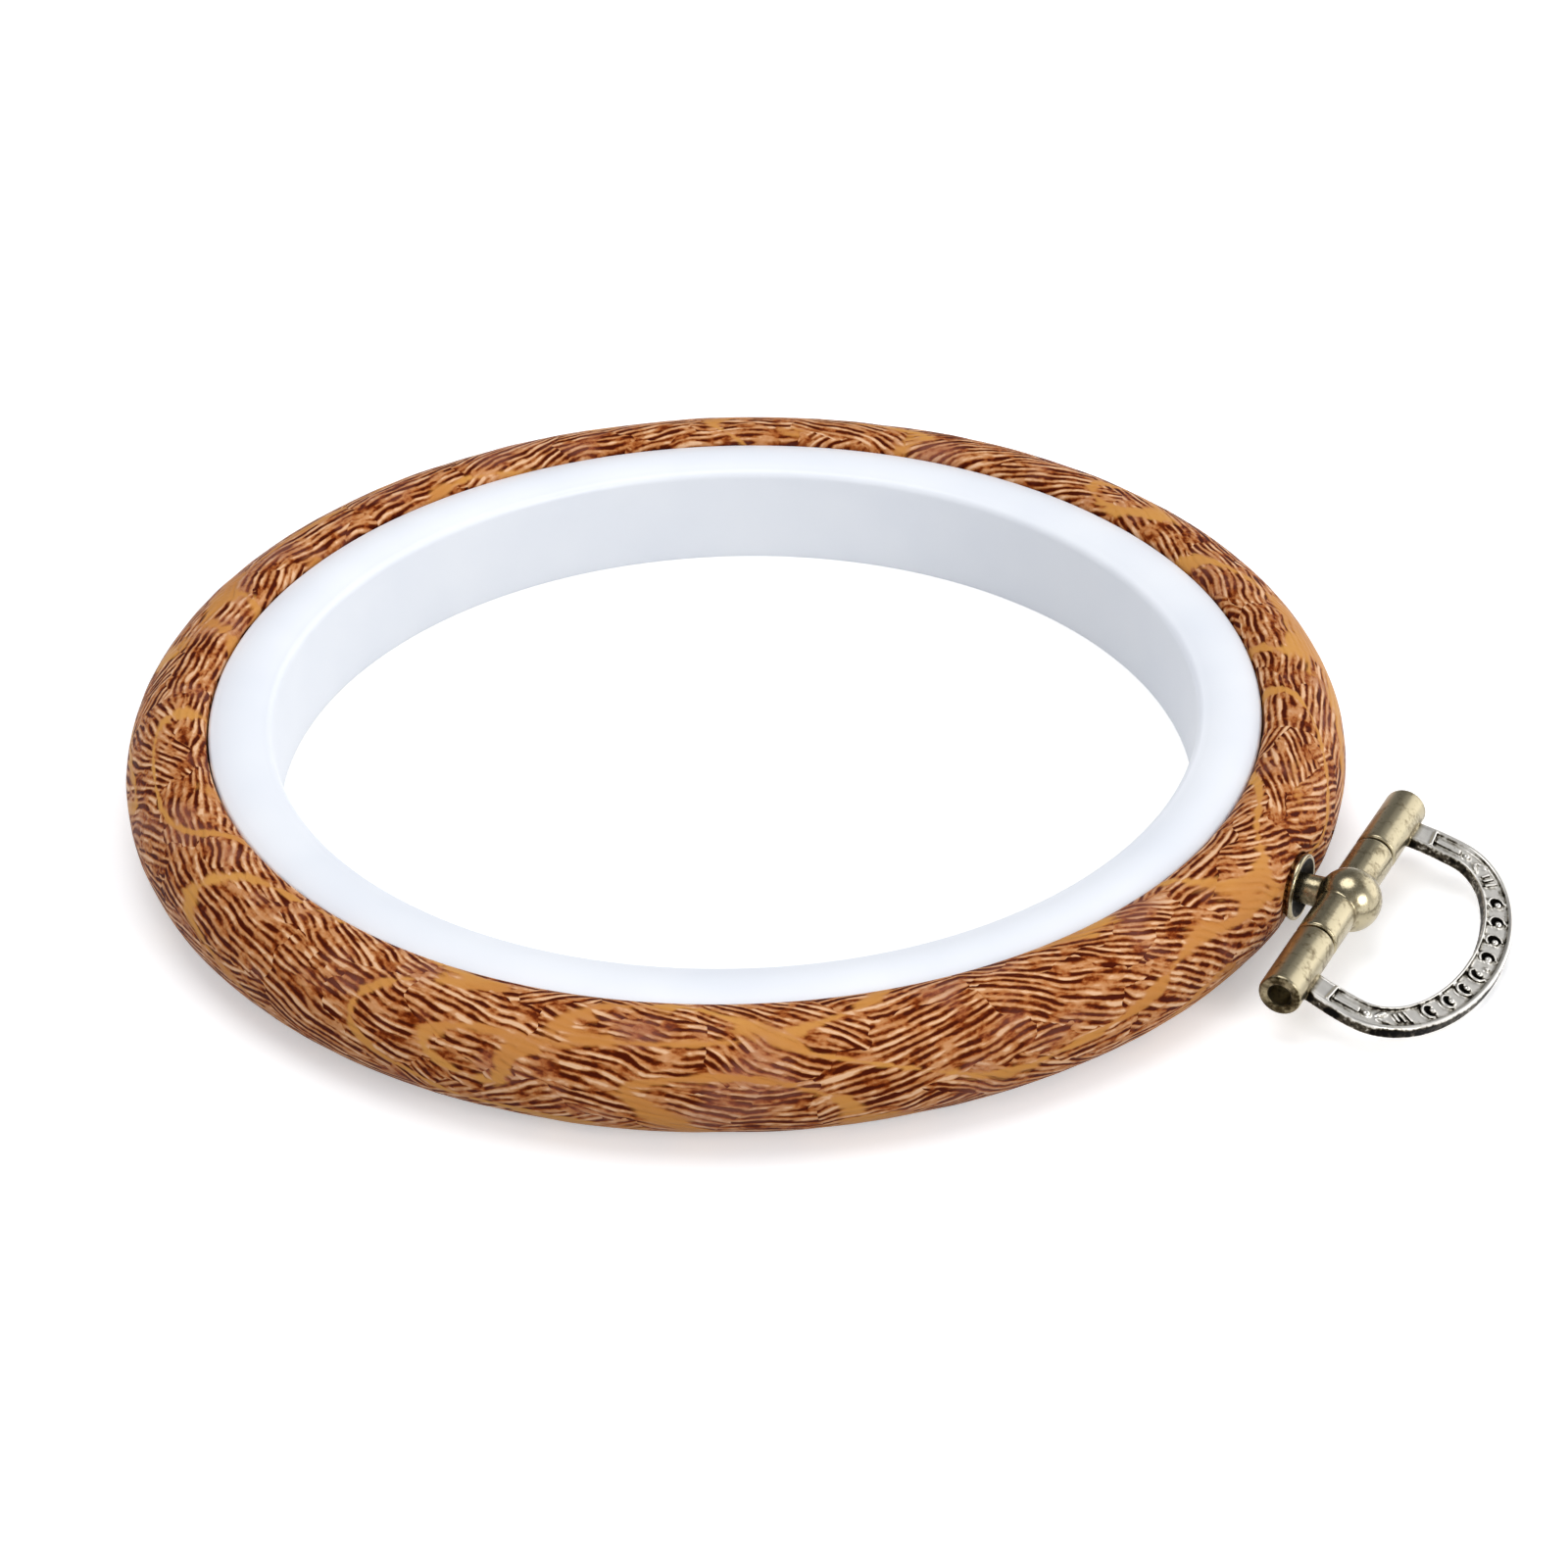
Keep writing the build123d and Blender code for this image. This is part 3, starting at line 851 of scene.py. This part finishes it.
def scrollSpot(place, side, count):
    # The curl's mouth looks to the tip and outwards
    c = carving
    distance = c["scrollStart"] + count * c["scrollPitch"]
    return place(side * distance) @ Matrix.Rotation(-side * radians(c["scrollTurn"]), 4, "Z")


def addOrnament(bm):
    # Each half, from the tip: a bead pair, scrolls that cradle beads, dashes, two leaves, a dot and a bar
    c = carving
    place, half = ornamentPlaces()

    def bead(radius, spot, stretch=(1, 1, 1)):
        shell = bmesh.new()
        bmesh.ops.create_icosphere(shell, subdivisions=3, radius=radius)
        bmesh.ops.scale(shell, verts=shell.verts, vec=stretch)
        addShell(bm, shell, spot)

    def scroll(spot):
        shell = bmesh.new()
        centre = Matrix.Translation((c["scrollRadius"], 0, 0))
        wire = bmesh.ops.create_circle(
            shell, segments=10, radius=c["scrollWire"], cap_ends=True,
            matrix=centre @ Matrix.Rotation(pi / 2, 4, "X"))["verts"]
        sweep = radians(c["scrollSweep"])
        bmesh.ops.spin(
            shell, geom=wire + list(shell.edges) + list(shell.faces), cent=(0, 0, 0), axis=(0, 0, 1),
            dvec=(0, 0, 0), angle=sweep, steps=20, use_merge=False, use_duplicate=False)
        bmesh.ops.recalc_face_normals(shell, faces=shell.faces)
        # The curl thins towards its two ends
        for v in shell.verts:
            turn = atan2(v.co.y, v.co.x) % fullTurn
            thin = 0.55 + 0.45 * sin(pi * min(turn, sweep) / sweep)
            arm = Vector((v.co.x, v.co.y, 0)).normalized() * c["scrollRadius"]
            v.co = arm + (v.co - arm) * thin
        addShell(bm, shell, spot @ Matrix.Rotation(-sweep / 2, 4, "Z"))

    for side in (-1, 1):
        pair = place(side * c["pairX"]) @ Matrix.Translation((0, side * c["pairAside"], c["sunk"]))
        bead(c["pairRadius"], pair)
        for count in range(c["scrolls"]):
            spot = scrollSpot(place, side, count)
            bead(c["beadRadius"], spot @ Matrix.Translation((-c["beadOffset"], 0, c["sunk"])))
            scroll(spot @ Matrix.Translation((0, 0, c["scrollRise"])))
        for step in c["dashSteps"]:
            dash = roundedBlock(c["dashWidth"], c["dashLength"] - 0.3 * step, 0.5, 0.07)
            spot = place(side * (half - c["dashEnd"] + step))
            addShell(bm, dash, spot @ Matrix.Rotation(radians(c["dashTurn"]), 4, "Z"))
        for lean in (-1, 1):
            spot = place(side * (half - c["leafEnd"])) @ Matrix.Translation((0, lean * c["leafAside"], 0))
            spot = spot @ Matrix.Rotation(-lean * radians(c["leafTurn"]), 4, "Z")
            bead(c["leafRadius"], spot, c["leafStretch"])
        dot = place(side * (half - c["dotEnd"])) @ Matrix.Translation((0, 0, 0.02))
        bead(c["dotRadius"], dot, c["dotStretch"])
        addShell(bm, roundedBlock(*c["bar"], 0.09), place(side * (half - c["barEnd"])))
        addShell(bm, roundedBlock(*c["stop"], 0.08), place(side * (half - c["stopEnd"])))


def makeBail():
    p, c = bail, carving
    bm = bmesh.new()
    loopBand(bm)
    addOrnament(bm)
    inner = hanger["middleBarrel"] / 2 + p["barrelGap"]
    outer, pinEnd = p["hingeLength"] / 2, p["pinLength"] / 2
    for side in (-1, 1):
        barrel = bmesh.new()
        turnSection(barrel, roundedSection([
            (p["pinBore"], inner, 0, 0), (hanger["barrelRadius"], inner, 0.2, 4),
            (hanger["barrelRadius"], outer, 0.28, 5), (p["endBore"], outer, 0.12, 3),
            (p["endBore"], pinEnd, 0, 0), (p["pinBore"], pinEnd, 0, 0)]), (0, 0, 1), 64)
        addShell(bm, barrel, Matrix.Rotation(-side * pi / 2, 4, "X"))
    casting = meshOf("bailCasting", bm)
    castTogether(casting, p["voxel"], 2)
    markRecesses(casting, 0.9)
    # The loop's sides and underside are drawn darker than its upper face, as painted shade; the barrels' end
    # faces are drawn darker too
    recess = casting.data.attributes["recess"]
    for v, point in zip(casting.data.vertices, recess.data):
        if hypot(v.co.x, v.co.z) > hanger["barrelRadius"] + 0.1:
            point.value += 0.42 * max(0, 1 - abs(v.normal.z) * 1.25)
        elif abs(v.co.y) > p["hingeLength"] / 2 - 0.1:
            point.value += 0.26
    # A dark crescent lies between each bead and the closed side of its curl: painted shadow of the bead, with
    # patina there too
    place, _ = ornamentPlaces()
    floor = p["thickness"] / 2 - p["carvingDepth"]
    for side in (-1, 1):
        for count in range(c["scrolls"]):
            back = scrollSpot(place, side, count).inverted()
            for v, point in zip(casting.data.vertices, recess.data):
                q = back @ v.co
                if abs(q.x) < 0.7 and abs(q.y) < 0.7 and v.co.z > floor - 0.1:
                    inCurl = 0.60 - hypot(q.x, q.y)
                    offBead = hypot(q.x + c["beadOffset"], q.y) - c["beadRadius"] + 0.06
                    point.value += 0.5 * max(0, min(1, inCurl / 0.08, offBead / 0.08, (q.x + 0.25) / 0.2))
    # The plating has worn off the barrels
    brassy = casting.data.attributes.new("brassy", "FLOAT", "POINT")
    fromAxis = [hypot(v.co.x, v.co.z) for v in casting.data.vertices]
    brassy.data.foreach_set("value", [max(0, min(1, (2.3 - r) / 0.4)) for r in fromAxis])
    hinge = Matrix.Translation((hanger["hingeX"], 0, hanger["height"]))
    casting.data.transform(hinge @ Matrix.Rotation(droop(), 4, "Y"))
    smoothShading(casting, 60)
    return finishPiece(casting, agedSilver, "bail", "bail")


makeCollar()
makeHangerBody()
makeBail()


# Floor, plain and pale
def makeFloor():
    bm = bmesh.new()
    bmesh.ops.create_grid(bm, x_segments=1, y_segments=1, size=3.0)
    floor = meshOf("floor", bm)
    material, tree = newMaterial("paleFloor")
    paths = addNode(tree, "LightPath").outputs
    seen = addNode(tree, "Math", {0: paths["Is Camera Ray"], 1: paths["Is Glossy Ray"]}, operation="MAXIMUM")
    diffuse = addNode(tree, "BsdfDiffuse", {"Color": linear("#F4F4F4")})
    dull = addNode(tree, "BsdfDiffuse", {"Color": linear("#B8B8B8")})
    # The lamps don't reach far out, so the floor glows more there and stays pale to the horizon
    away = addNode(tree, "VectorMath", {0: addNode(tree, "TexCoord").outputs["Object"]}, operation="LENGTH")
    away = addNode(tree, "MapRange", {0: away.outputs["Value"], 1: 0.2, 2: 1.0, 3: 0.35, 4: 0.95})
    glow = addNode(tree, "Emission", {"Color": linear("#FFFFFF"), "Strength": away})
    lit = addNode(tree, "AddShader", {0: diffuse, 1: glow})
    mixed = addNode(tree, "MixShader", {0: seen, 1: dull, 2: lit})
    addNode(tree, "OutputMaterial", {"Surface": mixed})
    floor.data.materials.append(material)


makeFloor()


# Soft studio light: name, place in metres, diameter and power of each softbox
softboxes = [
    ("softboxAbove", (-0.10, 0.05, 0.80), 0.6, 2.4),
    ("softboxRight", (0.75, -0.25, 0.35), 0.45, 2.6),
    ("softboxBack", (0.52, 0.58, 0.26), 0.8, 1.7),
    ("softboxFront", (-0.20, -0.80, 0.35), 0.5, 0.9)]
aim = Vector((0.01, 0, 0.005))


def makeLights():
    world = bpy.data.worlds.new("studio")
    bpy.context.scene.world = world
    world.use_nodes = True
    tree = world.node_tree
    tree.nodes.clear()
    paths = addNode(tree, "LightPath").outputs
    seen = addNode(tree, "Math", {0: paths["Is Camera Ray"], 1: paths["Is Glossy Ray"]}, operation="MAXIMUM")
    direction = addNode(tree, "TexCoord").outputs["Generated"]
    sides = addNode(tree, "SeparateXYZ", {0: direction}).outputs
    overhead = addNode(tree, "MapRange", {0: sides["Z"], 1: 0.05, 2: 0.9, 3: 1.0, 4: 0.2})
    # A dark flag stands on the hoop's side of the hanger, so round metal shows a light and a dark flank
    flag = addNode(tree, "MapRange", {
        0: sides["X"], 1: -0.22, 2: 0.02, 3: 0.35, 4: 1.0}, interpolation_type="SMOOTHSTEP")
    glossy = addNode(tree, "Math", {0: flag, 1: overhead}, operation="MULTIPLY")
    glossy = addNode(tree, "Math", {0: paths["Is Glossy Ray"], 1: glossy}, operation="MULTIPLY")
    level = addNode(tree, "Math", {0: glossy, 1: paths["Is Camera Ray"]}, operation="MAXIMUM")
    dim = addNode(tree, "Background", {"Color": linear("#F6F8FF"), "Strength": 0.52})
    white = addNode(tree, "Background", {"Color": linear("#FFFFFF"), "Strength": level})
    mixed = addNode(tree, "MixShader", {0: seen, 1: dim, 2: white})
    addNode(tree, "OutputWorld", {"Surface": mixed})
    for name, spot, size, power in softboxes:
        data = bpy.data.lights.new(name, "AREA")
        data.shape, data.size, data.energy = "DISK", size, power
        lamp = bpy.data.objects.new(name, data)
        bpy.context.scene.collection.objects.link(lamp)
        lamp.location = spot
        lamp.rotation_euler = (aim - Vector(spot)).to_track_quat("-Z", "Y").to_euler()


makeLights()
print("floor and lights made")

# The turned pieces keep their own shapes
for node in ("hinge_pin", "hanger_screw", "screw_washer"):
    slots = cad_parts[node].data.materials
    slots.clear()
    slots.append(turnedSteel)

bpy.context.scene.view_settings.view_transform = "Standard"
